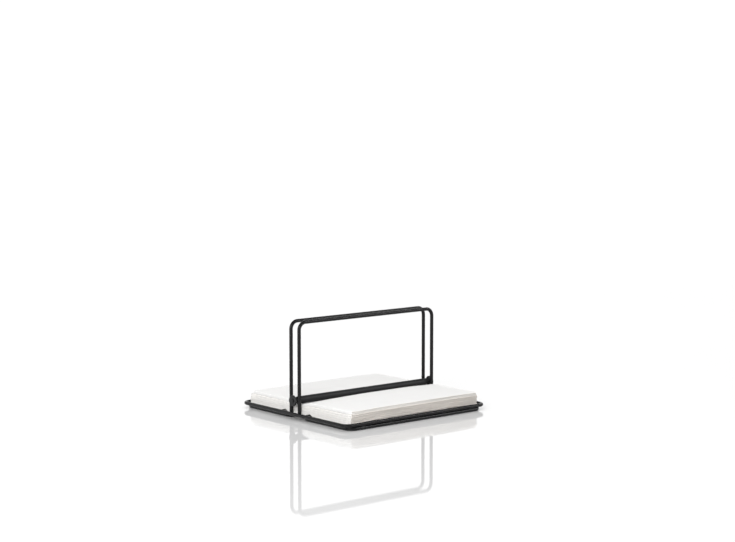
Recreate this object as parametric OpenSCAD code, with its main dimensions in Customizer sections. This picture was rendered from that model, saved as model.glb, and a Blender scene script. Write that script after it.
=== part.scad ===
// Napkin dispenser: a bent-wire tray for one flat stack of folded napkins.
// Two wire arches stand across the middle and guide a weight bar that lies on the stack.
// X runs along the bar, Y from the front to the rear, Z up. The origin is on the table, at the centre.

/* [Wire] */
// Diameter of the frame wire
wire_d = 3.8; // [3:0.2:4.6]
// Radius of every bend in the frame wire, to its centre line
bend_r = 8; // [6:0.5:12]
// Diameter of the thinner wires that the napkins lie on
support_d = 2.8; // [2:0.2:3]

/* [Base] */
// Overall length of the base along the bar
base_l = 195; // [190:1:220]
// Overall width of the base from front to rear
base_w = 179; // [176:1:210]
// How far the sides of the lower loops stand inside the sides of the rim
loop_inset = 6.3; // [5:0.1:9]
// Distance of each cross wire from the middle of the base
cross_y = 20.5; // [18:0.5:30]
// Distance of each runner wire from the middle of the base
runner_x = 45; // [30:1:60]

/* [Arches] */
// Overall height of the arches above the table
arch_h = 103.4; // [80:0.2:140]
// Distance between the centre lines of the two arches
arch_pitch = 13.7; // [13:0.1:14.6]
// Height of the cut ends of the legs above the table
foot_z = 0.5; // [0.4:0.1:2]

/* [Weight bar] */
// Outer diameter of the roller sleeve
sleeve_d = 7.8; // [7:0.2:8]
// Diameter of the axle that carries the sleeve
axle_d = 3.8; // [3.4:0.2:4.4]
// Diameter of the end discs
disc_d = 11.6; // [11:0.2:14]
// Thickness of the end discs
disc_t = 2; // [1.6:0.1:2.2]
// Diameter of the pin at each end of the axle, through the disc
pin_d = 3; // [2.4:0.1:3.2]

/* [Napkins] */
// Length of a folded napkin along the bar
napkin_l = 175; // [150:1:176]
// Width of a folded napkin from front to rear
napkin_w = 165; // [150:1:168]
// Thickness of each lower napkin where the bar presses it
lower_t = 1.1; // [0.8:0.1:2.5]
// Thickness of the top napkin
top_t = 2.2; // [1:0.1:3]
// How far the stack lies off the middle, along the bar
stack_shift_x = 1; // [-1:0.5:1]
// How far the stack lies off the middle, towards the rear
stack_shift_y = 0.5; // [-1:0.5:1]

/* [Fits] */
// Gap between the stack and the piece that slides on it
slide_gap = 0.1; // [0.1:0.05:0.3]
// Gap between the weight bar and the top napkin
press_gap = 0.3; // [0.2:0.05:0.5]
// Gap between the inner face of an end disc and the legs
disc_gap = 0.3; // [0.2:0.05:0.5]
// Radial running clearance between the axle and the sleeve
bore_gap = 0.05; // [0.02:0.01:0.1]
// Radial clearance between the pin and its disc
pin_gap = 0.02; // [0.01:0.01:0.04]

/* [Hidden] */
$fn = 64;

// The rim, on its centre line
rim_x = (base_l - wire_d) / 2;
rim_y = (base_w - wire_d) / 2;
rim_z = 1.5 * wire_d;
rim_top = 2 * wire_d;

// The arches stand just inside the rim and touch it
leg_x = rim_x - wire_d;
arch_y = arch_pitch / 2;
arch_top_z = arch_h - wire_d / 2;

// Each lower loop lies on the table under its half of the rim
loop_x = rim_x - loop_inset;
loop_inner_y = arch_y + wire_d;
loop_z = wire_d / 2;

// The support wires lie level with the top of the rim
support_z = rim_top - support_d / 2;
cross_l = 2 * (rim_x - wire_d / 2);
runner_outer_y = rim_y - wire_d / 2;
runner_inner_y = cross_y + support_d / 2;

// The stack lies on the support wires
lower_count = 5;
top_napkin_z = rim_top + lower_count * lower_t + slide_gap;
stack_top = top_napkin_z + top_t;

// The weight bar lies on the stack
bar_z = stack_top + press_gap + sleeve_d / 2;
disc_x = leg_x + wire_d / 2 + disc_gap;
sleeve_l = 2 * (leg_x - wire_d / 2 - 0.5);
sleeve_chamfer = 0.5;
disc_edge = 0.4;
rivet_d = pin_d + 2;
rivet_t = 0.8;

// A round rod along X, centred on the origin
module rod_x(length, diameter) {
    rotate([0, 90, 0])
        cylinder(h = length, d = diameter, center = true);
}

// A round rod along Y, centred on the origin
module rod_y(length, diameter) {
    rotate([90, 0, 0])
        cylinder(h = length, d = diameter, center = true);
}

// A quarter bend of frame wire in the XY plane, from +X round to +Y
module bend() {
    rotate_extrude(angle = 90)
        translate([bend_r, 0])
            circle(d = wire_d);
}

// A closed wire rectangle with rounded corners; half sizes to the centre line
module wire_rectangle(half_x, half_y) {
    for (side = [-1, 1]) {
        translate([0, side * half_y, 0])
            rod_x(2 * (half_x - bend_r), wire_d);
        translate([side * half_x, 0, 0])
            rod_y(2 * (half_y - bend_r), wire_d);
    }
    for (turn = [0 : 3]) {
        corner_x = (turn == 0 || turn == 3 ? 1 : -1) * (half_x - bend_r);
        corner_y = (turn < 2 ? 1 : -1) * (half_y - bend_r);
        translate([corner_x, corner_y, 0])
            rotate([0, 0, 90 * turn])
                bend();
    }
}

// One lower loop; side is -1 for the front half and 1 for the rear half
module base_loop(side) {
    half_y = (rim_y - loop_inner_y) / 2;
    translate([0, side * (rim_y + loop_inner_y) / 2, loop_z])
        wire_rectangle(loop_x, half_y);
}

// One arch: two legs, two bends and the top, from a single length of wire
module arch(side) {
    leg_h = arch_top_z - bend_r - foot_z;
    translate([0, side * arch_y, 0]) {
        translate([0, 0, arch_top_z])
            rod_x(2 * (leg_x - bend_r), wire_d);
        for (end = [-1, 1]) {
            translate([end * leg_x, 0, foot_z])
                cylinder(h = leg_h, d = wire_d);
            translate([end * (leg_x - bend_r), 0, arch_top_z - bend_r])
                rotate([90, 0, end > 0 ? 0 : 180])
                    bend();
        }
    }
}

// One cross wire, from side to side of the rim
module cross_wire(side) {
    translate([0, side * cross_y, support_z])
        rod_x(cross_l, support_d);
}

// One runner wire, from a cross wire out to the rim
module runner_wire(end, side) {
    translate([end * runner_x, side * (runner_outer_y + runner_inner_y) / 2, support_z])
        rod_y(runner_outer_y - runner_inner_y, support_d);
}

// One end disc, with a softened outer edge
module end_disc(end) {
    translate([end * disc_x, 0, bar_z])
        rotate([0, end * 90, 0])
            difference() {
                rotate_extrude()
                    polygon([
                        [0, 0], [disc_d / 2 - disc_edge, 0], [disc_d / 2, disc_edge],
                        [disc_d / 2, disc_t - disc_edge], [disc_d / 2 - disc_edge, disc_t], [0, disc_t]
                    ]);
                translate([0, 0, -1])
                    cylinder(h = disc_t + 2, r = pin_d / 2 + pin_gap);
            }
}

// One lower napkin; level counts up from the support wires
module lower_napkin(level) {
    translate([stack_shift_x, stack_shift_y, rim_top + (level + 0.5) * lower_t])
        cube([napkin_l, napkin_w, lower_t], center = true);
}

module base_rim() {
    color("#1d1d1f")
        translate([0, 0, rim_z])
            wire_rectangle(rim_x, rim_y);
}

module front_base_loop() {
    color("#242426")
        base_loop(-1);
}

module rear_base_loop() {
    color("#242426")
        base_loop(1);
}

module front_arch() {
    color("#1d1d1f")
        arch(-1);
}

module rear_arch() {
    color("#1d1d1f")
        arch(1);
}

module front_cross_wire() {
    color("#2a2a2c")
        cross_wire(-1);
}

module rear_cross_wire() {
    color("#2a2a2c")
        cross_wire(1);
}

module front_left_runner() {
    color("#2a2a2c")
        runner_wire(-1, -1);
}

module front_right_runner() {
    color("#2a2a2c")
        runner_wire(1, -1);
}

module rear_left_runner() {
    color("#2a2a2c")
        runner_wire(-1, 1);
}

module rear_right_runner() {
    color("#2a2a2c")
        runner_wire(1, 1);
}

// The axle between the legs, with a pin and a closed-over rivet head at each end
module axle() {
    color("#353538")
        translate([0, 0, bar_z]) {
            rod_x(2 * disc_x, axle_d);
            rod_x(2 * (disc_x + disc_t), pin_d);
            for (end = [-1, 1])
                translate([end * (disc_x + disc_t + rivet_t / 2), 0, 0])
                    rod_x(rivet_t, rivet_d);
        }
}

// The heavy tube that lies on the napkins and turns on the axle
module roller_sleeve() {
    color("#3a3b3e")
        translate([0, 0, bar_z])
            rotate([0, 90, 0])
                difference() {
                    rotate_extrude()
                        polygon([
                            [0, -sleeve_l / 2], [sleeve_d / 2 - sleeve_chamfer, -sleeve_l / 2],
                            [sleeve_d / 2, sleeve_chamfer - sleeve_l / 2],
                            [sleeve_d / 2, sleeve_l / 2 - sleeve_chamfer],
                            [sleeve_d / 2 - sleeve_chamfer, sleeve_l / 2], [0, sleeve_l / 2]
                        ]);
                    cylinder(h = sleeve_l + 2, r = axle_d / 2 + bore_gap, center = true);
                }
}

module left_end_disc() {
    color("#46474a")
        end_disc(-1);
}

module right_end_disc() {
    color("#46474a")
        end_disc(1);
}

module napkin_1() {
    color("#efece6")
        lower_napkin(0);
}

module napkin_2() {
    color("#e9e5de")
        lower_napkin(1);
}

module napkin_3() {
    color("#efece6")
        lower_napkin(2);
}

module napkin_4() {
    color("#e9e5de")
        lower_napkin(3);
}

module napkin_5() {
    color("#efece6")
        lower_napkin(4);
}

module top_napkin() {
    color("#f7f5f1")
        translate([stack_shift_x, stack_shift_y, top_napkin_z + top_t / 2])
            cube([napkin_l, napkin_w, top_t], center = true);
}

base_rim();
front_base_loop();
rear_base_loop();
front_arch();
rear_arch();
front_cross_wire();
rear_cross_wire();
front_left_runner();
front_right_runner();
rear_left_runner();
rear_right_runner();
axle();
roller_sleeve();
left_end_disc();
right_end_disc();
napkin_1();
napkin_2();
napkin_3();
napkin_4();
napkin_5();
top_napkin();
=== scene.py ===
"""Looks of a wire napkin dispenser, built around its fixed CAD frame.

The dispenser is a tray of bent, powder-coated wire that holds one flat stack of
folded paper napkins. Two wire arches stand across the middle, and a weight bar
lies on the stack between them. Everything is in metres, in the frame of the CAD
model: X along the bar, Y from front to rear, Z up, origin on the table.
"""

import logging
import math
from dataclasses import dataclass, replace
from enum import Enum

import bpy
import numpy as np
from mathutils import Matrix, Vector, noise


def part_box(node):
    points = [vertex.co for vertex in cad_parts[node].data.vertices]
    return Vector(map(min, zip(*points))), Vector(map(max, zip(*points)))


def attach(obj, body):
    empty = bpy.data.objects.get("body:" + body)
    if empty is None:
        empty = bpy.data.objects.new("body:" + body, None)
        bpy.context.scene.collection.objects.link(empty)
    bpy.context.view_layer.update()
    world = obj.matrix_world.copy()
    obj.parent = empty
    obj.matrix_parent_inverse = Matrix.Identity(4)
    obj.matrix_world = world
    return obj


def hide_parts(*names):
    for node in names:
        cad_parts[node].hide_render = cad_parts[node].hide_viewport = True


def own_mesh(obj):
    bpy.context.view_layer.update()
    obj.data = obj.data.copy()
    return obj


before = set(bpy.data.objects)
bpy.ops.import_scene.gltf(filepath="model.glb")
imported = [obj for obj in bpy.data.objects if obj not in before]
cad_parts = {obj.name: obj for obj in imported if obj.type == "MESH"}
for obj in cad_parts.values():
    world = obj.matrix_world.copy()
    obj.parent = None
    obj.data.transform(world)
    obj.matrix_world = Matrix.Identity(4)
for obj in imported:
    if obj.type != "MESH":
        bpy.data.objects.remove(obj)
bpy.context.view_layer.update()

log = logging.getLogger("napkin_dispenser")

MM = 0.001
CREASE_ANGLE = math.radians(40)

Socket = bpy.types.NodeSocket
Triple = tuple[float, float, float]


class Body(Enum):
    """The rigid bodies that the pieces ride on."""

    FRAME = "frame"
    AXLE = "bar_axle"
    ROLLER = "bar_roller"
    PULLED = "pulled_napkin"


class Slot(Enum):
    """Names of the material slots."""

    FRAME_WIRE = "frame_wire"
    SUPPORT_WIRE = "support_wire"
    BAR_SLEEVE = "bar_sleeve"
    BAR_FITTINGS = "bar_fittings"
    NAPKIN = "napkin_paper"
    TOP_NAPKIN = "top_napkin_paper"


class Side(Enum):
    """Front or rear half of the dispenser, as a sign on Y."""

    FRONT = -1
    REAR = 1


# ---- finishes


class MaterialGraph:
    """A material with a Principled shader and short calls to add nodes to it."""

    def __init__(self, name: str) -> None:
        """Start an empty material.

        Args:
            name: The material's name.
        """
        self.material = bpy.data.materials.new(name)
        self.material.use_nodes = True
        self.tree = self.material.node_tree
        self.tree.nodes.clear()
        self.output = self.add("ShaderNodeOutputMaterial")
        self.shader = self.add("ShaderNodeBsdfPrincipled")
        self.link(self.shader.outputs["BSDF"], self.output.inputs["Surface"])
        self.place = self.add("ShaderNodeTexCoord").outputs["Object"]

    def add(self, kind: str, **values: object) -> bpy.types.Node:
        """Add a node.

        Args:
            kind: The node's type name.
            **values: Properties to set on it.

        Returns:
            The new node.
        """
        node = self.tree.nodes.new(kind)
        for key, value in values.items():
            setattr(node, key, value)
        return node

    def link(self, source: Socket, target: Socket) -> None:
        """Join two sockets.

        Args:
            source: The output.
            target: The input.
        """
        self.tree.links.new(source, target)

    def set(self, **values: object) -> None:
        """Set plain values on the shader.

        Args:
            **values: Socket names, with underscores for spaces, and their values.
        """
        for key, value in values.items():
            self.shader.inputs[key.replace("_", " ")].default_value = value

    def noise(self, size: float, detail: float = 3.0, stretch: Triple = (1, 1, 1)) -> Socket:
        """Add a noise pattern on object coordinates.

        Args:
            size: About the size of one blotch, in metres.
            detail: Octaves of finer noise.
            stretch: How much the pattern is shortened along each axis.

        Returns:
            The noise value, from 0 to 1.
        """
        mapping = self.add("ShaderNodeMapping")
        mapping.inputs["Scale"].default_value = stretch
        self.link(self.place, mapping.inputs["Vector"])
        texture = self.add("ShaderNodeTexNoise")
        texture.inputs["Scale"].default_value = 1 / size
        texture.inputs["Detail"].default_value = detail
        self.link(mapping.outputs["Vector"], texture.inputs["Vector"])
        return texture.outputs["Fac"]

    def remap(self, source: Socket, low: float, high: float,
              start: float = 0.3, end: float = 0.7) -> Socket:
        """Stretch a value from one range to another, clamped.

        Args:
            source: The value.
            low: The result at start.
            high: The result at end.
            start: Lower end of the source's range.
            end: Upper end of the source's range.

        Returns:
            The new value.
        """
        node = self.add("ShaderNodeMapRange")
        self.link(source, node.inputs["Value"])
        for key, value in (("From Min", start), ("From Max", end),
                           ("To Min", low), ("To Max", high)):
            node.inputs[key].default_value = value
        return node.outputs["Result"]

    def mix(self, factor: Socket, first: Triple | Socket, second: Triple | Socket) -> Socket:
        """Mix two colours.

        Args:
            factor: 0 for the first colour, 1 for the second.
            first: Linear colour, or a socket that gives one.
            second: Linear colour, or a socket that gives one.

        Returns:
            The mixed colour.
        """
        node = self.add("ShaderNodeMix", data_type="RGBA")
        self.link(factor, node.inputs["Factor"])
        for key, value in (("A", first), ("B", second)):
            socket = next(s for s in node.inputs if s.name == key and s.type == "RGBA")
            if isinstance(value, tuple):
                socket.default_value = (*value, 1.0)
            else:
                self.link(value, socket)
        return next(s for s in node.outputs if s.type == "RGBA")

    def bump(self, layers: list[tuple[Socket, float]]) -> None:
        """Chain height patterns into the shader's normal.

        Args:
            layers: Pairs of a height value and its depth in metres.
        """
        last = None
        for height, depth in layers:
            node = self.add("ShaderNodeBump")
            node.inputs["Strength"].default_value = 1.0
            node.inputs["Distance"].default_value = depth
            self.link(height, node.inputs["Height"])
            if last is not None:
                self.link(last.outputs["Normal"], node.inputs["Normal"])
            last = node
        self.link(last.outputs["Normal"], self.shader.inputs["Normal"])


@dataclass(frozen=True)
class PowderCoat:
    """A baked powder coat on steel: a fine orange peel with faint dust and rubbing."""

    name: str
    color: Triple
    rubbed: Triple
    roughness: float
    duller: float = 0.07
    shinier: float = 0.05
    blotch_size: float = 9 * MM
    grain_size: float = 1.6 * MM
    swell_size: float = 3.2 * MM
    peel_size: float = 0.45 * MM
    peel_depth: float = 0.003 * MM
    specular: float = 0.2

    def material(self) -> bpy.types.Material:
        """Build the material.

        Returns:
            The finished material.
        """
        graph = MaterialGraph(self.name)
        graph.set(Metallic=0.0, IOR=1.5, Specular_IOR_Level=self.specular)
        blotches = graph.noise(self.blotch_size, detail=4)
        rubbing = graph.remap(blotches, 0.0, 1.0, start=0.42, end=0.72)
        graph.link(graph.mix(rubbing, self.color, self.rubbed), graph.shader.inputs["Base Color"])
        grain = graph.noise(self.grain_size, detail=3)
        polish = graph.remap(grain, self.roughness - self.shinier, self.roughness + self.duller)
        graph.link(polish, graph.shader.inputs["Roughness"])
        peel = graph.noise(self.peel_size, detail=2)
        swell = graph.noise(self.swell_size, detail=1)
        graph.bump([(swell, self.peel_depth * 2), (peel, self.peel_depth)])
        return graph.material


@dataclass(frozen=True)
class Tissue:
    """Soft pressed tissue: short fibres, a faint crepe across the sheet, and painted warm bounce
    light on the open edges, where light is trapped between the layers.
    """

    name: str
    color: Triple
    # painted warm bounce light, mixed in over the open edges where light is trapped between the
    # layers
    bounce_light_color: Triple
    cloud_size: float = 14 * MM
    cloud_depth: float = 0.12 * MM
    cloud_shade: float = 0.985
    fibre_size: float = 0.5 * MM
    fibre_depth: float = 0.02 * MM
    crepe_pitch: float = 0.9 * MM
    crepe_depth: float = 0.03 * MM

    def material(self) -> bpy.types.Material:
        """Build the material, which reads the sheet's open_edge attribute.

        Returns:
            The finished material.
        """
        graph = MaterialGraph(self.name)
        graph.set(Metallic=0.0, IOR=1.4, Specular_IOR_Level=0.15, Sheen_Weight=0.12,
                  Sheen_Roughness=0.6)
        cloud = graph.noise(self.cloud_size, detail=3)
        fibres = graph.noise(self.fibre_size, detail=4, stretch=(1.0, 0.35, 1.0))
        shade = graph.remap(cloud, 0.0, 1.0)
        darker = tuple(channel * self.cloud_shade for channel in self.color)
        sheet = graph.mix(shade, self.color, darker)
        # the open edges are painted towards the warm bounce light colour
        edge = graph.add("ShaderNodeAttribute", attribute_name="open_edge").outputs["Fac"]
        graph.link(graph.mix(edge, sheet, self.bounce_light_color), graph.shader.inputs["Base Color"])
        graph.link(graph.remap(fibres, 0.82, 0.96), graph.shader.inputs["Roughness"])
        crepe = graph.noise(self.crepe_pitch, detail=2, stretch=(0.12, 1.0, 1.0))
        graph.bump([(cloud, self.cloud_depth), (crepe, self.crepe_depth),
                    (fibres, self.fibre_depth)])
        return graph.material


@dataclass(frozen=True)
class GlossTop:
    """The pale glossy table that the dispenser stands on."""

    name: str
    color: Triple
    roughness: float

    def material(self) -> bpy.types.Material:
        """Build the material.

        Returns:
            The finished material.
        """
        graph = MaterialGraph(self.name)
        graph.set(Base_Color=(*self.color, 1.0), Roughness=self.roughness, IOR=1.5,
                  Specular_IOR_Level=0.5)
        return graph.material


# ---- geometry nodes


class ShapeTree:
    """A Geometry Nodes tree with named inputs, built here and baked onto meshes."""

    def __init__(self, name: str) -> None:
        """Start an empty tree with a geometry input and output.

        Args:
            name: The tree's name.
        """
        self.tree = bpy.data.node_groups.new(name, "GeometryNodeTree")
        for way in ("INPUT", "OUTPUT"):
            self.tree.interface.new_socket("Geometry", in_out=way,
                                           socket_type="NodeSocketGeometry")
        self.start = self.tree.nodes.new("NodeGroupInput")
        self.end = self.tree.nodes.new("NodeGroupOutput")

    def input(self, name: str, kind: str, value: object = None) -> None:
        """Add a named input.

        Args:
            name: Its name.
            kind: Short socket type, such as Float or Material.
            value: Its default.
        """
        socket = self.tree.interface.new_socket(name, in_out="INPUT",
                                                socket_type=f"NodeSocket{kind}")
        if value is not None:
            socket.default_value = value

    def given(self, name: str) -> Socket:
        """Return the tree's input of that name, to link from."""
        return self.start.outputs[name]

    def add(self, kind: str, links: dict | None = None, **values: object) -> bpy.types.Node:
        """Add a node and set or link its inputs.

        Args:
            kind: The node's type, without the GeometryNode prefix, or a full type name.
            links: Input names or numbers, each with an output socket or a plain value.
            **values: Properties to set on the node.

        Returns:
            The new node.
        """
        full = kind if kind.startswith(("ShaderNode", "FunctionNode")) else f"GeometryNode{kind}"
        node = self.tree.nodes.new(full)
        for key, value in values.items():
            setattr(node, key, value)
        for key, value in (links or {}).items():
            if isinstance(value, Socket):
                self.tree.links.new(value, node.inputs[key])
            else:
                node.inputs[key].default_value = value
        return node

    def math(self, operation: str, *values: Socket | float) -> Socket:
        """Add a math node.

        Args:
            operation: The math operation.
            *values: Sockets or numbers.

        Returns:
            The result.
        """
        node = self.add("ShaderNodeMath", dict(enumerate(values)), operation=operation)
        return node.outputs[0]

    def close(self, shape: Socket) -> None:
        """End the tree in smooth shading, Realize Instances and Set Material.

        Args:
            shape: The geometry to finish.
        """
        smooth = self.add("SetShadeSmooth", {"Geometry": shape, "Shade Smooth": True})
        angle = self.add("InputMeshEdgeAngle").outputs["Unsigned Angle"]
        sharp = self.add("FunctionNodeCompare", {0: angle, 1: CREASE_ANGLE},
                         data_type="FLOAT", operation="GREATER_THAN")
        creased = self.add("SetShadeSmooth", {"Geometry": smooth.outputs[0], "Shade Smooth": False,
                                              "Selection": sharp.outputs[0]}, domain="EDGE")
        real = self.add("RealizeInstances", {"Geometry": creased.outputs[0]})
        dressed = self.add("SetMaterial", {"Geometry": real.outputs[0],
                                           "Material": self.given("Material")})
        self.tree.links.new(dressed.outputs[0], self.end.inputs["Geometry"])

    def bake(self, name: str, source: bpy.types.Mesh, **values: object) -> bpy.types.Object:
        """Run the tree on a mesh and return the result as a plain object.

        Args:
            name: Name of the new object.
            source: The mesh that the tree starts from.
            **values: The tree's inputs, with underscores for spaces.

        Returns:
            An object with a plain mesh and no modifier.
        """
        item = bpy.data.objects.new(name, source)
        bpy.context.scene.collection.objects.link(item)
        modifier = item.modifiers.new(name, "NODES")
        modifier.node_group = self.tree
        sockets = {s.name: s.identifier for s in self.tree.interface.items_tree
                   if s.in_out == "INPUT"}
        for key, value in values.items():
            modifier[sockets[key.replace("_", " ")]] = value
        item.update_tag()
        bpy.context.view_layer.update()
        evaluated = item.evaluated_get(bpy.context.evaluated_depsgraph_get())
        baked = bpy.data.meshes.new_from_object(evaluated)
        baked.name = name
        item.modifiers.clear()
        item.data = baked
        bpy.data.meshes.remove(source)
        return item


def polyline(name: str, points: list[Vector], closed: bool) -> bpy.types.Mesh:
    """Return a mesh of edges only, through the points in order.

    Args:
        name: Name of the mesh.
        points: Corner points.
        closed: Whether the last point joins the first.

    Returns:
        The mesh.
    """
    count = len(points)
    edges = [(i, (i + 1) % count) for i in range(count if closed else count - 1)]
    mesh = bpy.data.meshes.new(name)
    mesh.from_pydata([tuple(p) for p in points], edges, [])
    return mesh


def bent_wire_tree() -> ShapeTree:
    """Make the tree that bends a corner line with a radius and sweeps a wire along it.

    Returns:
        The tree, which rounds the wire's cut ends over the length End Round.
    """
    shape = ShapeTree("bent_wire")
    shape.input("Wire Radius", "Float", 2 * MM)
    shape.input("Bend Radius", "Float", 8 * MM)
    shape.input("Sides", "Int", 28)
    shape.input("Bend Steps", "Int", 14)
    shape.input("End Round", "Float", 0.0)
    shape.input("Material", "Material")
    line = shape.add("MeshToCurve", {"Mesh": shape.given("Geometry")})
    bends = shape.add("FilletCurve", {"Curve": line.outputs[0],
                                      "Radius": shape.given("Bend Radius"),
                                      "Count": shape.given("Bend Steps")}, mode="POLY")
    along = shape.add("SplineParameter").outputs["Length"]
    whole = shape.add("SplineLength").outputs["Length"]
    to_end = shape.math("MINIMUM", along, shape.math("SUBTRACT", whole, along))
    share = shape.math("DIVIDE", to_end, shape.math("MAXIMUM", shape.given("End Round"), 1e-6))
    near = shape.math("SUBTRACT", 1.0, shape.math("MINIMUM", share, 1.0))
    drop = shape.math("SUBTRACT", 1.0, shape.math("SQRT", shape.math(
        "SUBTRACT", 1.0, shape.math("MULTIPLY", near, near))))
    lost = shape.math("DIVIDE", shape.math("MULTIPLY", drop, shape.given("End Round")),
                      shape.given("Wire Radius"))
    scale = shape.math("SUBTRACT", 1.0, lost)
    ring = shape.add("CurvePrimitiveCircle", {"Radius": shape.given("Wire Radius"),
                                              "Resolution": shape.given("Sides")})
    swept = shape.add("CurveToMesh", {"Curve": bends.outputs[0], "Profile Curve": ring.outputs[0],
                                      "Scale": scale, "Fill Caps": True})
    shape.close(swept.outputs[0])
    return shape


def weld_tree() -> ShapeTree:
    """Make the tree that sets a small uneven weld nugget on every point.

    Returns:
        The tree, which reads each nugget's half sizes from the nugget attribute.
    """
    shape = ShapeTree("weld_nuggets")
    shape.input("Roughness", "Float", 0.12 * MM)
    shape.input("Seed", "Int", 7)
    shape.input("Material", "Material")
    ball = shape.add("MeshIcoSphere", {"Radius": 1.0, "Subdivisions": 3})
    size = shape.add("InputNamedAttribute", {"Name": "nugget"}, data_type="FLOAT_VECTOR")
    placed = shape.add("InstanceOnPoints", {"Points": shape.given("Geometry"),
                                            "Instance": ball.outputs[0],
                                            "Scale": size.outputs[0]})
    real = shape.add("RealizeInstances", {"Geometry": placed.outputs[0]})
    grains_per_metre = 900.0
    grain = shape.add("ShaderNodeTexNoise", {"Scale": grains_per_metre, "W": shape.given("Seed")},
                      noise_dimensions="4D")
    lift = shape.math("MULTIPLY", shape.math("SUBTRACT", grain.outputs[0], 0.5),
                      shape.given("Roughness"))
    outwards = shape.add("InputNormal").outputs[0]
    push = shape.add("ShaderNodeVectorMath", {0: outwards, "Scale": lift}, operation="SCALE")
    moved = shape.add("SetPosition", {"Geometry": real.outputs[0], "Offset": push.outputs[0]})
    shape.close(moved.outputs[0])
    return shape


# ---- placing pieces


def settle(piece: bpy.types.Object, body: Body, replaced: list[str]) -> None:
    """Let a piece ride on a body and stand for CAD nodes.

    Args:
        piece: The finished object.
        body: The body it moves with.
        replaced: Names of the CAD nodes it stands for.
    """
    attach(piece, body.value)
    if replaced:
        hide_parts(*replaced)
    log.info("%s: %d faces, rides on %s", piece.name, len(piece.data.polygons), body.value)


def dress_node(name: str, material: bpy.types.Material) -> None:
    """Give a CAD node that stays in view its finish.

    Args:
        name: The node.
        material: The finish.
    """
    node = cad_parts[name]
    if not node.material_slots:
        node.data.materials.append(material)
    for held in node.material_slots:
        held.material = material
    log.info("%s: keeps its CAD shape, finish %s", name, material.name)


def middle_and_half(name: str) -> tuple[Vector, Vector]:
    """Return a CAD node's centre and half sizes at rest.

    Args:
        name: The node.

    Returns:
        The centre and the half sizes, as vectors.
    """
    low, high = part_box(name)
    return (low + high) / 2, (high - low) / 2


# ---- the wire frame


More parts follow.
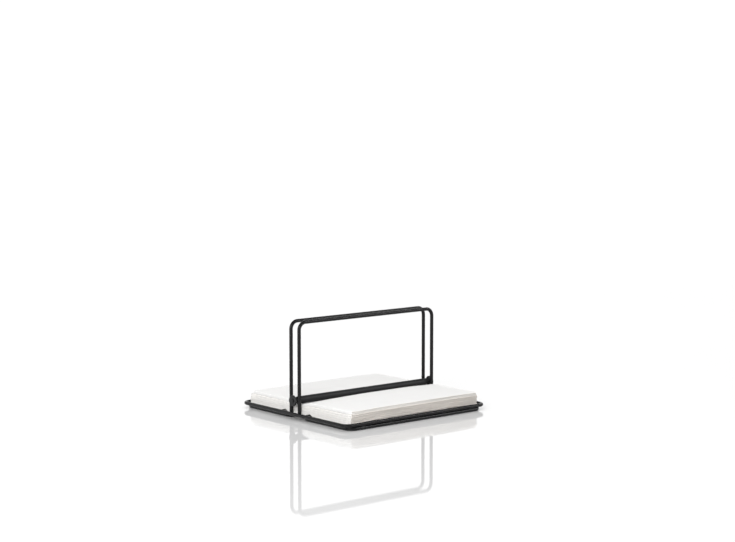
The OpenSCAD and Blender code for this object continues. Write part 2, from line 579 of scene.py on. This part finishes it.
@dataclass
class WireFrame:
    """The welded frame: rim, two lower loops, two arches and the support wires."""

    bend_radius: float = 8 * MM
    bend_steps: int = 14
    thick_sides: int = 28
    thin_sides: int = 24
    end_round: float = 0.5 * MM
    foot_share: float = 0.8
    nugget: float = 1.5 * MM
    nugget_roughness: float = 0.25 * MM
    loop_weld_pitch: float = 0.38

    def __post_init__(self) -> None:
        """Work out wire sizes from the CAD frame."""
        self.wire = bent_wire_tree()
        self.rim_mid, self.rim_half = middle_and_half("base_rim")
        self.wire_radius = self.rim_half.z
        self.support_radius = middle_and_half("front_cross_wire")[1].z

    def rectangle(self, node: str) -> bpy.types.Mesh:
        """Draw the corner line of a closed wire rectangle.

        Args:
            node: The CAD node that holds it.

        Returns:
            The line as a mesh.
        """
        middle, half = middle_and_half(node)
        x, y = half.x - half.z, half.y - half.z
        corners = [middle + Vector((sx * x, sy * y, 0)) for sx, sy in
                   ((-1, -1), (1, -1), (1, 1), (-1, 1))]
        return polyline(node, corners, closed=True)

    def open_line(self, node: str, corners: list[Vector]) -> bpy.types.Mesh:
        """Draw an open corner line with close points at both ends, for the rounded cut ends.

        Args:
            node: Name of the mesh.
            corners: The corner points, from end to end.

        Returns:
            The line as a mesh.
        """
        steps = [0.0, 0.08, 0.25, 0.5, 0.75, 1.0]
        first = (corners[1] - corners[0]).normalized() * self.end_round
        last = (corners[-2] - corners[-1]).normalized() * self.end_round
        points = [corners[0] + first * s for s in steps]
        points += corners[1:-1]
        points += [corners[-1] + last * s for s in reversed(steps)]
        return polyline(node, points, closed=False)

    def arch_line(self, node: str) -> bpy.types.Mesh:
        """Draw the corner line of an arch, with feet that end beside the rim.

        Args:
            node: The arch's CAD node.

        Returns:
            The line as a mesh, up one leg, across and down the other.
        """
        low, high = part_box(node)
        y, radius = (low.y + high.y) / 2, (high.y - low.y) / 2
        left, right, top = low.x + radius, high.x - radius, high.z - radius
        foot = max(low.z, self.rim_mid.z - self.foot_share * self.wire_radius)
        return self.open_line(node, [Vector((left, y, foot)), Vector((left, y, top)),
                                     Vector((right, y, top)), Vector((right, y, foot))])

    def straight_line(self, node: str) -> bpy.types.Mesh:
        """Draw the line of a straight wire along its CAD node's longest side.

        Args:
            node: The wire's CAD node.

        Returns:
            The line as a mesh.
        """
        middle, half = middle_and_half(node)
        along = Vector((half.x, 0, 0)) if half.x > half.y else Vector((0, half.y, 0))
        return self.open_line(node, [middle - along, middle + along])

    def sweep(self, node: str, suffix: str, line: bpy.types.Mesh, slot: Slot,
              **inputs: object) -> None:
        """Sweep a wire along a line and let it stand for its CAD node.

        Args:
            node: The CAD node.
            suffix: What the piece's name adds to the node's name.
            line: The wire's corner line.
            slot: The wire's material slot; not used.
            **inputs: The inputs of the wire's tree.
        """
        piece = self.wire.bake(f"{node}_{suffix}", line, **inputs)
        settle(piece, Body.FRAME, [node])

    def build_thick(self, finish: bpy.types.Material) -> None:
        """Make the rim, the lower loops and the arches.

        Args:
            finish: The wire's coat.
        """
        shared = {"Material": finish, "Wire_Radius": self.wire_radius,
                  "Bend_Radius": self.bend_radius, "Bend_Steps": self.bend_steps,
                  "Sides": self.thick_sides}
        for node in ("base_rim", "front_base_loop", "rear_base_loop"):
            self.sweep(node, "wire", self.rectangle(node), Slot.FRAME_WIRE, End_Round=0.0,
                       **shared)
        for node in ("front_arch", "rear_arch"):
            self.sweep(node, "wire", self.arch_line(node), Slot.FRAME_WIRE,
                       End_Round=self.end_round, **shared)

    def build_supports(self, finish: bpy.types.Material) -> None:
        """Make the thin wires that the napkins lie on.

        Args:
            finish: The wire's coat.
        """
        nodes = [f"{side.name.lower()}_cross_wire" for side in Side]
        nodes += [f"{side.name.lower()}_{end}_runner" for side in Side for end in ("left", "right")]
        for node in nodes:
            self.sweep(node, "rod", self.straight_line(node), Slot.SUPPORT_WIRE, Material=finish,
                       Wire_Radius=self.support_radius, Bend_Radius=0.0, Bend_Steps=2,
                       Sides=self.thin_sides, End_Round=self.end_round / 2)

    def weld_points(self) -> list[tuple[Vector, Triple]]:
        """Find where two wires are welded.

        Returns:
            Each weld's place and the half sizes of its nugget.
        """
        rim, half, radius = self.rim_mid, self.rim_half, self.wire_radius
        flat, long = self.nugget * 0.8, self.nugget * 1.3
        places = []
        for node in ("front_arch", "rear_arch"):
            middle, _ = middle_and_half(node)
            for end in (-1, 1):
                x = rim.x + end * (half.x - 2 * radius)
                places.append((Vector((x, middle.y, rim.z)), (flat, long, flat)))
        for side in Side:
            cross, size = middle_and_half(f"{side.name.lower()}_cross_wire")
            for end in (-1, 1):
                x = cross.x + end * (size.x - self.nugget)
                places.append((Vector((x, cross.y, cross.z)), (flat, flat, flat * 0.8)))
            for name in ("left", "right"):
                runner, span = middle_and_half(f"{side.name.lower()}_{name}_runner")
                for end in (-1, 1):
                    y = runner.y + end * span.y
                    places.append((Vector((runner.x, y, runner.z)), (long, flat, flat)))
            for step in (-2, -1, 0, 1, 2):
                place = Vector((rim.x + step * half.x * self.loop_weld_pitch,
                                rim.y + side.value * (half.y - radius), rim.z - radius))
                places.append((place, (long * 1.4, flat * 1.05, flat * 0.8)))
        return places

    def build_welds(self, finish: bpy.types.Material) -> None:
        """Set a nugget at every joint between two wires.

        Args:
            finish: The coat over the welds.
        """
        places = self.weld_points()
        points = bpy.data.meshes.new("weld_points")
        points.from_pydata([tuple(p) for p, _ in places], [], [])
        sizes = points.attributes.new("nugget", "FLOAT_VECTOR", "POINT")
        sizes.data.foreach_set("vector", [v for _, size in places for v in size])
        piece = weld_tree().bake("weld_nuggets", points, Material=finish, Seed=7,
                                 Roughness=self.nugget_roughness)
        settle(piece, Body.FRAME, [])


# ---- the weight bar


@dataclass
class WeightBar:
    """The weight bar: a heavy sleeve on an axle with a disc riveted on each end."""

    sleeve_node: str = "roller_sleeve"
    fitting_nodes: tuple[str, ...] = ("axle", "left_end_disc", "right_end_disc")

    def dress(self, sleeve: bpy.types.Material, fittings: bpy.types.Material) -> None:
        """Give the bar's CAD pieces their finishes.

        Args:
            sleeve: The coat on the sleeve.
            fittings: The coat on the axle and the discs.
        """
        dress_node(self.sleeve_node, sleeve)
        for node in self.fitting_nodes:
            dress_node(node, fittings)


# ---- the napkins


def ease(value: np.ndarray, start: float, end: float) -> np.ndarray:
    """Rise smoothly from 0 at start to 1 at end.

    Args:
        value: Where to look.
        start: Where the rise begins.
        end: Where it ends.

    Returns:
        The shares risen.
    """
    share = np.clip((value - start) / (end - start), 0, 1)
    return share * share * (3 - 2 * share)


@dataclass
class StackShape:
    """How the stack lies: pressed by the bar, held by the wires, sagging past them.

    The pressed groove under the bar narrows from left to right, between the two ends
    of valley_run. Sag grows from the first to the second distance of its pair, and the
    wires hold it back within their reach.
    """

    bottom: float
    pressed_top: float
    loose_height: float
    cross_y: float
    runner_x: float
    front_rise: float = 12.4 * MM
    rear_rise: float = 12.2 * MM
    left_valley: float = 12.5 * MM
    right_valley: float = 8.5 * MM
    valley_run: tuple[float, float] = (-85 * MM, 5 * MM)
    side_sag: float = 2.3 * MM
    side_run: tuple[float, float] = (50 * MM, 86 * MM)
    end_sag: float = 1.0 * MM
    end_run: tuple[float, float] = (46 * MM, 80 * MM)
    runner_reach: float = 5 * MM
    cross_reach: float = 2.9 * MM
    top_share: float = 0.35

    def rise(self, x: np.ndarray, y: np.ndarray) -> np.ndarray:
        """Return the stack's thickness at a distance from the bar.

        Args:
            x: Places along the bar.
            y: Distances from the bar's middle line, in metres.

        Returns:
            Thicknesses.
        """
        pressed = self.pressed_top - self.bottom
        full = np.where(y < 0, self.front_rise, self.rear_rise)
        narrowing = ease(x, *self.valley_run)
        valley = self.left_valley + (self.right_valley - self.left_valley) * narrowing
        return pressed + (full - pressed) * (1 - np.exp(-((y / valley) ** 2)))

    def sag(self, x: np.ndarray, y: np.ndarray, share: np.ndarray) -> np.ndarray:
        """Return how far a layer hangs below the level of the wires.

        Args:
            x: Places along the bar.
            y: Places across the bar.
            share: The layer's height in the stack, from 0 to 1.

        Returns:
            The sag.
        """
        side = self.side_sag * ease(np.abs(x), *self.side_run)
        held = np.exp(-(((np.abs(x) - self.runner_x) / self.runner_reach) ** 2)) * (1 - share) ** 2
        end = self.end_sag * ease(np.abs(y), *self.end_run) * (1 - held)
        both = side + end - side * end / self.side_sag
        wire = np.exp(-(((np.abs(y) - self.cross_y) / self.cross_reach) ** 2)) * (1 - share) ** 2
        return both * (1 - wire) * (1 - (1 - self.top_share) * share)

    def press(self, points: np.ndarray) -> np.ndarray:
        """Move points of a loose stack to where the bar and the wires leave them.

        Args:
            points: Points, with Z from 0 at the wires to loose_height at the top.

        Returns:
            The settled points.
        """
        moved = points.copy()
        x, y = points[:, 0], points[:, 1]
        share = points[:, 2] / self.loose_height
        moved[:, 2] = self.bottom - self.sag(x, y, share) + share * self.rise(x, y)
        return moved


@dataclass
class SheetSurface:
    """The middle surface of a folded sheet, and what each of its points is near to."""

    points: np.ndarray
    quads: np.ndarray
    open_edge: np.ndarray
    layer: np.ndarray
    front: np.ndarray
    right: np.ndarray


@dataclass
class FoldedNapkin:
    """One napkin: a square sheet folded in half twice, with its closed fold on the left.

    The layers are numbered 0 at the bottom to 3 on top, and lips says how far each
    one's open front edge sticks out.
    """

    name: str
    node: str
    body: Body
    slot: Slot
    level: float
    thickness: float
    ply: float
    length: float
    width: float
    shift: tuple[float, float]
    turn: float
    seed: int
    lips: tuple[float, ...]
    grid_x: float = 4.5 * MM
    grid_y: float = 2.2 * MM
    fold_steps: int = 8
    fold_power: float = 0.45
    spine_power: float = 0.25
    front_fold_corner: float = 9.0 * MM
    other_corner: float = 1.5 * MM
    edge_reach: float = 1.2 * MM
    wave_reach: float = 14 * MM
    wave_length: float = 30 * MM
    wave_size: float = 0.5 * MM
    fine_length: float = 6 * MM
    fine_size: float = 0.16 * MM
    lip_share: float = 0.6

    def across(self, straight: float, spacing: float) -> tuple[np.ndarray, np.ndarray]:
        """Return the stations of one folded direction: there, round the fold and back.

        Args:
            straight: Length of the straight part.
            spacing: Spacing of the stations.

        Returns:
            Places from 0 to straight, and fold angles.
        """
        count = int(round(straight / spacing))
        edge = [0.0, 0.3 * MM, 1.0 * MM, 2.2 * MM]
        there = edge + list(np.linspace(4 * MM, straight, count))
        angles = np.linspace(0, math.pi, self.fold_steps + 2)[1:-1]
        place = np.array(there + [straight] * len(angles) + there[::-1])
        angle = np.concatenate([np.zeros(len(there)), angles, np.full(len(there), math.pi)])
        return place, angle

    @staticmethod
    def boxy(value: np.ndarray, power: float) -> np.ndarray:
        """Square off a sine or cosine, as a pressed fold is.

        Args:
            value: The sines or cosines.
            power: 1 for a round fold, less for a squarer one.

        Returns:
            The squared-off values.
        """
        return np.sign(value) * np.abs(value) ** power

    def surface(self) -> SheetSurface:
        """Fold the sheet, loose and flat.

        Returns:
            Its middle surface.
        """
        pitch = (self.thickness - self.ply) / 3
        inner, outer = pitch / 2, pitch * 1.5
        along, along_angle = self.across(self.length - outer, self.grid_x)
        cross, cross_angle = self.across(self.width - inner, self.grid_y)
        u, v = np.meshgrid(np.arange(len(along)), np.arange(len(cross)), indexing="ij")
        u, v = u.ravel(), v.ravel()
        lift = inner - inner * self.boxy(np.cos(cross_angle[v]), self.fold_power)
        y = cross[v] + inner * self.boxy(np.sin(cross_angle[v]), self.fold_power)
        radius = outer - lift
        x = self.length / 2 - along[u] - radius * self.boxy(np.sin(along_angle[u]),
                                                            self.spine_power)
        z = outer - radius * self.boxy(np.cos(along_angle[u]), self.fold_power)
        rows = len(cross)
        a = (np.arange(len(along) - 1)[:, None] * rows + np.arange(rows - 1)[None, :]).ravel()
        upper, lower_half = u >= len(along) // 2, v < rows // 2
        return SheetSurface(
            points=np.stack([x, y - self.width / 2, z + self.ply / 2 + self.level], axis=1),
            quads=np.stack([a, a + 1, a + rows + 1, a + rows], axis=1),
            # open_edge marks where the tissue gets its painted warm bounce light
            open_edge=np.clip(1 - np.minimum(cross[v], along[u]) / self.edge_reach, 0, 1),
            layer=np.where(upper, np.where(lower_half, 3, 2), np.where(lower_half, 0, 1)),
            front=cross[v],
            right=along[u],
        )

    def uneven(self, points: np.ndarray, sheet: SheetSurface) -> np.ndarray:
        """Let the layers' open edges run a little unevenly, as cut tissue does.

        Args:
            points: The loose points.
            sheet: What each point is near to.

        Returns:
            The moved points.
        """
        moved = points.copy()
        for i, (x, y, _) in enumerate(points):
            k = int(sheet.layer[i])
            front, right = sheet.front[i], sheet.right[i]
            if front < self.wave_reach:
                wave = noise.noise(Vector((x / self.wave_length, self.seed * 3.1 + k * 7.7, 0.5)))
                fine = noise.noise(Vector((x / self.fine_length, self.seed * 5.3 + k * 2.9, 9.5)))
                fade = (1 - front / self.wave_reach) ** 2
                ripple = self.wave_size * wave + self.fine_size * fine
                moved[i, 1] -= fade * (ripple + self.lips[k])
            if right < self.wave_reach:
                wave = noise.noise(Vector((y / self.wave_length, self.seed * 1.7 + k * 4.1, 3.5)))
                fade = (1 - right / self.wave_reach) ** 2
                moved[i, 0] += fade * (self.wave_size * wave + self.lip_share * self.lips[k])
        return moved

    def round_corners(self, points: np.ndarray) -> np.ndarray:
        """Round the outline's corners, the folded one at the front most.

        Args:
            points: The loose points.

        Returns:
            The moved points.
        """
        moved = points.copy()
        small, large = self.other_corner, self.front_fold_corner
        for side, end, radius in ((-1, -1, large), (-1, 1, small), (1, -1, small), (1, 1, small)):
            a = np.clip((side * points[:, 0] - (self.length / 2 - radius)) / radius, 0, None)
            b = np.clip((end * points[:, 1] - (self.width / 2 - radius)) / radius, 0, None)
            inside = (a > 0) & (b > 0)
            k = np.maximum(a, b) / np.sqrt(np.maximum(a * a + b * b, 1e-12))
            x = side * (self.length / 2 - radius + radius * a * k)
            y = end * (self.width / 2 - radius + radius * b * k)
            moved[:, 0] = np.where(inside, x, moved[:, 0])
            moved[:, 1] = np.where(inside, y, moved[:, 1])
        return moved

    def place(self, points: np.ndarray) -> np.ndarray:
        """Turn and shift the loose napkin to where it lies on the stack.

        Args:
            points: The loose points.

        Returns:
            The moved points.
        """
        moved = points.copy()
        c, s = math.cos(self.turn), math.sin(self.turn)
        moved[:, 0] = c * points[:, 0] - s * points[:, 1] + self.shift[0]
        moved[:, 1] = s * points[:, 0] + c * points[:, 1] + self.shift[1]
        return moved

    def build(self, stack: StackShape, finish: bpy.types.Material) -> bpy.types.Object:
        """Fold, press and dress the napkin.

        Args:
            stack: The shape of the settled stack.
            finish: The tissue.

        Returns:
            The napkin as one closed thin mesh.
        """
        sheet = self.surface()
        points = self.uneven(self.round_corners(sheet.points), sheet)
        points = stack.press(self.place(points))
        mesh = bpy.data.meshes.new(self.name)
        mesh.from_pydata(points.tolist(), [], sheet.quads.tolist())
        # store the mask for the painted warm bounce light on the open edges
        edge = mesh.attributes.new("open_edge", "FLOAT", "POINT")
        edge.data.foreach_set("value", sheet.open_edge.astype(np.float32))
        mesh.polygons.foreach_set("use_smooth", [True] * len(mesh.polygons))
        mesh.materials.append(finish)
        piece = bpy.data.objects.new(self.name, mesh)
        bpy.context.scene.collection.objects.link(piece)
        ply = piece.modifiers.new("ply", "SOLIDIFY")
        ply.thickness = self.ply
        ply.offset = 0.0
        bpy.context.view_layer.update()
        evaluated = piece.evaluated_get(bpy.context.evaluated_depsgraph_get())
        baked = bpy.data.meshes.new_from_object(evaluated)
        piece.modifiers.clear()
        piece.data = baked
        settle(piece, self.body, [self.node])
        return piece


@dataclass
class NapkinStack:
    """The stack of folded napkins: five lower ones and the top one.

    The top napkin is a little shorter at the rear and at the left, so that it comes
    clear of the bar and the arches when it is pulled.
    """

    lower_thickness: float = 1.64 * MM
    top_thickness: float = 2.5 * MM
    lower_ply: float = 0.26 * MM
    top_ply: float = 0.46 * MM
    side_growth: float = 0.6 * MM
    end_growth: float = 3.6 * MM
    shift_x: float = -2.2 * MM
    shift_y: float = -2.2 * MM
    turn: float = 0.6
    turn_jog: float = 0.1
    jog: float = 0.25
    seed: int = 11
    bar_gap: float = 0.03 * MM
    top_trim_x: float = 1.3 * MM
    top_trim_y: float = 3.6 * MM
    top_step: float = 0.8 * MM
    top_lips: tuple[float, ...] = (0.5 * MM, 0.2 * MM, -0.3 * MM, 0.1 * MM)
    pulled_share: float = 0.45

    def shape(self, count: int) -> StackShape:
        """Work out how the stack lies from the CAD pieces round it.

        Args:
            count: How many lower napkins there are.

        Returns:
            The settled stack's shape.
        """
        return StackShape(
            bottom=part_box("napkin_1")[0].z,
            pressed_top=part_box("roller_sleeve")[0].z - self.bar_gap,
            loose_height=count * self.lower_thickness + self.top_thickness,
            cross_y=middle_and_half("rear_cross_wire")[0].y,
            runner_x=middle_and_half("rear_right_runner")[0].x,
        )

    def napkin(self, index: int, rng: np.random.Generator) -> FoldedNapkin:
        """Describe one lower napkin.

        Args:
            index: Its number, from 0 at the bottom.
            rng: The source of the small differences between napkins.

        Returns:
            The napkin, not built yet.
        """
        middle, half = middle_and_half("napkin_1")
        jog = rng.uniform(-self.jog, self.jog, 2) * MM
        lips = rng.uniform(-self.jog, self.jog, 4) * MM
        return FoldedNapkin(
            name=f"folded_napkin_{index + 1}",
            node=f"napkin_{index + 1}",
            body=Body.FRAME,
            slot=Slot.NAPKIN,
            level=index * self.lower_thickness,
            thickness=self.lower_thickness,
            ply=self.lower_ply,
            length=2 * half.x + self.side_growth,
            width=2 * half.y + self.end_growth,
            shift=(middle.x + self.shift_x + jog[0], middle.y + self.shift_y + jog[1]),
            turn=math.radians(self.turn + rng.uniform(-self.turn_jog, self.turn_jog)),
            seed=index + 1,
            lips=tuple(lips),
        )

    def top_napkin(self, below: int, rng: np.random.Generator) -> FoldedNapkin:
        """Describe the top napkin.

        Args:
            below: How many napkins lie under it.
            rng: The source of the small differences between napkins.

        Returns:
            The napkin, not built yet.
        """
        plain = self.napkin(below, rng)
        x, y = plain.shift
        return replace(
            plain,
            name="top_folded_napkin",
            node="top_napkin",
            body=Body.PULLED,
            slot=Slot.TOP_NAPKIN,
            thickness=self.top_thickness,
            ply=self.top_ply,
            length=plain.length - self.top_trim_x,
            width=plain.width - self.top_trim_y - self.top_step,
            shift=(x + self.top_trim_x / 2, y - self.top_trim_y / 2 + self.top_step / 2),
            lips=self.top_lips,
        )

    def build(self, lower: bpy.types.Material, top: bpy.types.Material) -> None:
        """Make every napkin.

        Args:
            lower: The tissue of the lower napkins.
            top: The tissue of the top napkin.
        """
        count = sum(name.startswith("napkin_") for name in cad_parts)
        stack = self.shape(count)
        rng = np.random.default_rng(self.seed)
        napkins = [self.napkin(index, rng) for index in range(count)]
        napkins.append(self.top_napkin(count, rng))
        for napkin in napkins:
            piece = napkin.build(stack, top if napkin.body is Body.PULLED else lower)
        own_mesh(piece)


# ---- the studio


class Rays(Enum):
    """Which kind of ray a light reaches: it lights surfaces, or it only shines in gloss."""

    MATT = "matt"
    GLOSS = "gloss"


@dataclass(frozen=True)
class Softbox:
    """One rectangular soft light."""

    name: str
    place: Triple
    aim: Triple
    size: tuple[float, float]
    power: float
    rays: Rays

    def hang(self, table: bpy.types.Object) -> None:
        """Hang the light. A light for gloss doesn't show in the table.

        Args:
            table: The table top.
        """
        data = bpy.data.lights.new(self.name, "AREA")
        data.shape = "RECTANGLE"
        data.size, data.size_y = self.size
        data.energy = self.power
        lamp = bpy.data.objects.new(self.name, data)
        lamp.location = self.place
        lamp.visible_diffuse = self.rays is Rays.MATT
        lamp.visible_glossy = self.rays is Rays.GLOSS
        way = Vector(self.aim) - Vector(self.place)
        lamp.rotation_euler = way.to_track_quat("-Z", "Y").to_euler()
        bpy.context.scene.collection.objects.link(lamp)
        if self.rays is Rays.GLOSS:
            skipped = bpy.data.collections.new(f"{self.name}_skips")
            skipped.objects.link(table)
            skipped.collection_objects[0].light_linking.link_state = "EXCLUDE"
            lamp.light_linking.receiver_collection = skipped


KEY_PLACE, KEY_AIM, KEY_SIZE, KEY_POWER = (-1.6, -1.02, 1.0), (0, 0, 0.05), (1.1, 1.0), 27.0

SOFTBOXES = (
    Softbox("key_softbox", KEY_PLACE, KEY_AIM, KEY_SIZE, KEY_POWER, Rays.MATT),
    Softbox("key_glint", KEY_PLACE, KEY_AIM, KEY_SIZE, KEY_POWER, Rays.GLOSS),
    Softbox("top_softbox", (0.0, 0.3, 1.9), (0, 0, 0), (0.5, 0.5), 4.2, Rays.MATT),
    Softbox("low_strip", (-1.55, -0.72, 0.6), (0, 0, 0.05), (0.22, 1.2), 8.0, Rays.GLOSS),
    Softbox("high_strip", (1.1, -1.05, 1.0), (1.1, 0, 0.1), (1.2, 0.12), 9.0, Rays.GLOSS),
    Softbox("left_fill", (-1.8, -0.1, 0.35), (0, 0, 0.02), (0.8, 0.5), 0.6, Rays.MATT),
)


@dataclass
class Studio:
    """Pale glossy table, soft lights and the camera.

    The camera's heading is in degrees from +Y towards +X, and its dip in degrees
    below the horizon. The surround shows white, and in gloss it fades over gloss_run,
    the upward part of the reflected direction.
    """

    eye: Triple = (-1.1429, -1.3761, 0.3348)
    heading: float = 39.85
    dip: float = 5.95
    lens: float = 82.82
    sensor: float = 36.0
    seen_light: float = 1.05
    gloss_light: float = 1.25
    gloss_above: float = 0.3
    gloss_run: tuple[float, float] = (0.3, 0.75)
    soft_light: float = 0.8
    table_half: float = 6.0
    softboxes: tuple[Softbox, ...] = SOFTBOXES

    def camera(self) -> None:
        """Make the camera."""
        data = bpy.data.cameras.new("camera")
        data.lens = self.lens
        data.sensor_width = self.sensor
        data.clip_start, data.clip_end = 0.05, 60.0
        camera = bpy.data.objects.new("camera", data)
        camera.location = self.eye
        camera.rotation_euler = (math.radians(90 - self.dip), 0, math.radians(-self.heading))
        bpy.context.scene.collection.objects.link(camera)
        bpy.context.scene.camera = camera

    def world(self) -> None:
        """Make the white surround: white to the camera, and in gloss bright only low down."""
        world = bpy.data.worlds.new("surround")
        bpy.context.scene.world = world
        world.use_nodes = True
        tree = world.node_tree
        tree.nodes.clear()
        path = tree.nodes.new("ShaderNodeLightPath")
        shader = None
        for name, strength, ray in (("soft", self.soft_light, None),
                                    ("gloss", self.gloss_light, "Is Glossy Ray"),
                                    ("seen", self.seen_light, "Is Camera Ray")):
            glow = tree.nodes.new("ShaderNodeBackground")
            glow.name = name
            glow.inputs["Color"].default_value = (1, 1, 1, 1)
            glow.inputs["Strength"].default_value = strength
            if ray is None:
                shader = glow.outputs[0]
                continue
            mix = tree.nodes.new("ShaderNodeMixShader")
            tree.links.new(path.outputs[ray], mix.inputs[0])
            tree.links.new(shader, mix.inputs[1])
            tree.links.new(glow.outputs[0], mix.inputs[2])
            shader = mix.outputs[0]
        way = tree.nodes.new("ShaderNodeTexCoord")
        split = tree.nodes.new("ShaderNodeSeparateXYZ")
        fall = tree.nodes.new("ShaderNodeMapRange")
        fall.interpolation_type = "SMOOTHSTEP"
        start, end = self.gloss_run
        for key, value in (("From Min", start), ("From Max", end),
                           ("To Min", self.gloss_light), ("To Max", self.gloss_above)):
            fall.inputs[key].default_value = value
        tree.links.new(way.outputs["Generated"], split.inputs[0])
        tree.links.new(split.outputs["Z"], fall.inputs["Value"])
        tree.links.new(fall.outputs[0], tree.nodes["gloss"].inputs["Strength"])
        output = tree.nodes.new("ShaderNodeOutputWorld")
        tree.links.new(shader, output.inputs["Surface"])

    def table(self, finish: bpy.types.Material) -> bpy.types.Object:
        """Lay the table top.

        Args:
            finish: Its material.

        Returns:
            The table top.
        """
        half = self.table_half
        mesh = bpy.data.meshes.new("table_top")
        mesh.from_pydata([(-half, -half, 0), (half, -half, 0), (half, half, 0), (-half, half, 0)],
                         [], [(0, 1, 2, 3)])
        mesh.materials.append(finish)
        table = bpy.data.objects.new("table_top", mesh)
        bpy.context.scene.collection.objects.link(table)
        return table

    def build(self) -> None:
        """Set up the whole studio."""
        scene = bpy.context.scene
        scene.view_settings.view_transform = "Standard"
        scene.view_settings.look = "None"
        self.camera()
        self.world()
        table = self.table(GlossTop("white_gloss_table", (0.78, 0.78, 0.78), 0.04).material())
        for softbox in self.softboxes:
            softbox.hang(table)
        log.info("studio: camera, surround, soft lights and the table top")


def main() -> None:
    """Build the dispenser piece by piece, then the studio round it."""
    logging.basicConfig(level=logging.INFO, format="%(message)s")
    Studio().build()
    black, worn_black = (0.006, 0.006, 0.0065), (0.009, 0.009, 0.0095)
    wire_coat = PowderCoat("satin_black_coat", black, worn_black, 0.2).material()
    rod_coat = PowderCoat("thin_wire_coat", black, worn_black, 0.3).material()
    sleeve_coat = PowderCoat("charcoal_sleeve_coat", (0.010, 0.010, 0.011),
                             (0.015, 0.015, 0.016), 0.42).material()
    disc_coat = PowderCoat("charcoal_disc_coat", (0.012, 0.012, 0.013),
                           (0.02, 0.02, 0.021), 0.36).material()
    # each tissue's second colour is painted warm bounce light for the open edges
    lower_tissue = Tissue("lower_tissue", (0.79, 0.775, 0.752), (0.86, 0.815, 0.765)).material()
    top_tissue = Tissue("top_tissue", (0.775, 0.77, 0.762), (0.93, 0.90, 0.86)).material()
    wires = WireFrame()
    wires.build_thick(wire_coat)
    wires.build_supports(rod_coat)
    wires.build_welds(wire_coat)
    WeightBar().dress(sleeve_coat, disc_coat)
    NapkinStack().build(lower_tissue, top_tissue)


if __name__ == "__main__":
    main()
